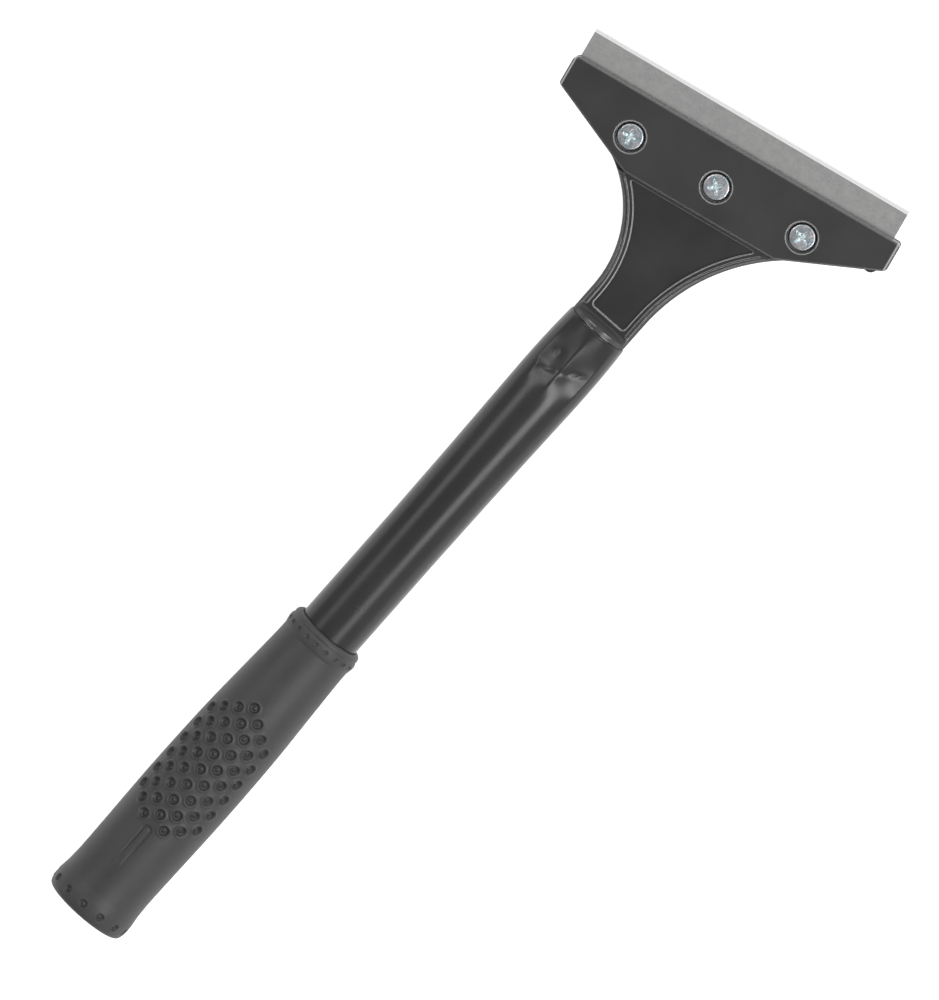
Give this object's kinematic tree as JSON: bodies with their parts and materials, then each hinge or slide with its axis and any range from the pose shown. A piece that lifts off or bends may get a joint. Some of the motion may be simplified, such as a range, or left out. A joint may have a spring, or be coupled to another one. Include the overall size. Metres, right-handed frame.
{
  "type": "floor scraper",
  "caption": "Short-handled floor scraper: a straight blade clamped under a screwed plate on a cast head, on a tube handle with a rubber grip.",
  "frame": {"origin": "under the middle of the tool's bounding box, on the surface that the grip rests on", "axes": "+Y along the handle towards the blade, +Z out of the screw side, +X to the right seen from the screw side"},
  "size_m": [0.1056, 0.305, 0.0264],
  "materials": {
    "cast_black": "satin black coating on a die casting",
    "plate_black": "satin black coating",
    "blade_steel": "ground spring steel, bright bevel",
    "zinc": "bright zinc plate",
    "tube_black": "gloss black enamel",
    "grip_rubber": "matt moulded rubber"
  },
  "bodies": {
    "handle": {"head_casting": "cast_black", "handle_tube": "tube_black", "grip": "grip_rubber"},
    "clamp": {"clamp_plate": "plate_black"},
    "screw_left": {"clamp_screw_left": "zinc"},
    "screw_middle": {"clamp_screw_middle": "zinc"},
    "screw_right": {"clamp_screw_right": "zinc"},
    "blade": {"blade": "blade_steel"}
  },
  "joints": [
    {"name": "clamp_lift", "type": "slide", "parent": "handle", "child": "clamp", "axis": [0, 0, 1], "range_m": [0, 0.0014]},
    {"name": "screw_left_turn", "type": "hinge", "parent": "clamp", "child": "screw_left", "pos_m": [-0.02563, 0.11646, 0.01604], "axis": [0, 0, 1], "range_deg": [0, 720]},
    {"name": "screw_middle_turn", "type": "hinge", "parent": "clamp", "child": "screw_middle", "pos_m": [0.00174, 0.12188, 0.01604], "axis": [0, 0, 1], "range_deg": [0, 720]},
    {"name": "screw_right_turn", "type": "hinge", "parent": "clamp", "child": "screw_right", "pos_m": [0.02911, 0.1273, 0.01604], "axis": [0, 0, 1], "range_deg": [0, 720]},
    {"name": "blade_draw", "type": "slide", "parent": "handle", "child": "blade", "axis": [-0.1942, 0.981, 0], "range_m": [0, 0.01]}
  ],
  "couplings": [
    {"joint": "screw_left_turn", "follows": "clamp_lift", "rad_per_m": 8976},
    {"joint": "screw_middle_turn", "follows": "clamp_lift", "rad_per_m": 8976},
    {"joint": "screw_right_turn", "follows": "clamp_lift", "rad_per_m": 8976}
  ]
}
